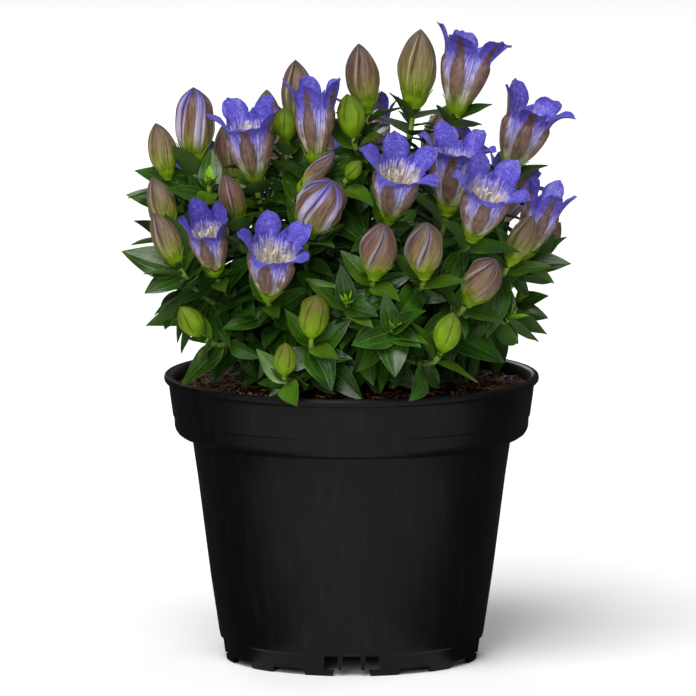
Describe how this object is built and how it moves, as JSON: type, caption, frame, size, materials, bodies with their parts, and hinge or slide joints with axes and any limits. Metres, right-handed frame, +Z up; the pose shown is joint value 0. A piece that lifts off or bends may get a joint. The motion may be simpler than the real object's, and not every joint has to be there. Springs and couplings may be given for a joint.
{
  "type": "potted japanese gentian",
  "caption": "Clump of leafy flowering stems with lobed blue bells and brown buds, standing in soil in a round tapered nursery pot with a stepped rim band.",
  "frame": {"origin": "centre of the pot's foot, on the surface that the pot stands on", "axes": "+Z up along the pot's axis, -Y towards the plant's front, +X to the right as seen from the front"},
  "size_m": [0.2019, 0.1993, 0.291],
  "materials": {
    "pot_plastic": "black injection moulded polypropylene, satin matte",
    "potting_mix": "damp reddish-brown peat with pale fibres",
    "foliage": "glossy dark green leaf with sunken veins",
    "petals": "soft blue-violet petal with brown-mauve stripes outside",
    "bud_skin": "brown-mauve closed petals over a yellow-green base"
  },
  "bodies": {
    "root": {"pot": "pot_plastic", "soil": "potting_mix", "leafy_stem_01": "foliage", "leafy_stem_02": "foliage", "leafy_stem_03": "foliage", "leafy_stem_04": "foliage", "leafy_stem_05": "foliage", "leafy_stem_06": "foliage", "leafy_stem_07": "foliage", "leafy_stem_08": "foliage", "leafy_stem_09": "foliage", "leafy_stem_10": "foliage", "leafy_stem_11": "foliage", "leafy_stem_12": "foliage", "leafy_stem_13": "foliage", "leafy_stem_14": "foliage", "leafy_stem_15": "foliage", "leafy_stem_16": "foliage", "leafy_stem_17": "foliage", "leafy_stem_18": "foliage", "leafy_stem_19": "foliage", "leafy_stem_20": "foliage", "leafy_stem_21": "foliage", "bell_05": "petals", "bell_07": "petals", "bell_11": "petals", "bell_12": "petals", "bell_13": "petals", "bell_15": "petals", "bell_16": "petals", "bell_17": "petals", "bell_23": "petals", "bell_25": "petals", "bell_26": "petals", "bell_28": "petals", "bell_30": "petals", "bell_32": "petals", "bell_34": "petals", "bell_36": "petals", "bud_01": "bud_skin", "bud_02": "bud_skin", "bud_03": "bud_skin", "bud_04": "bud_skin", "bud_06": "bud_skin", "bud_08": "bud_skin", "bud_09": "bud_skin", "bud_10": "bud_skin", "bud_14": "bud_skin", "bud_18": "bud_skin", "bud_19": "bud_skin", "bud_20": "bud_skin", "bud_21": "bud_skin", "bud_22": "bud_skin", "bud_24": "bud_skin", "bud_27": "bud_skin", "bud_29": "bud_skin", "bud_31": "bud_skin", "bud_33": "bud_skin", "bud_35": "bud_skin", "bud_37": "bud_skin"}
  },
  "joints": []
}
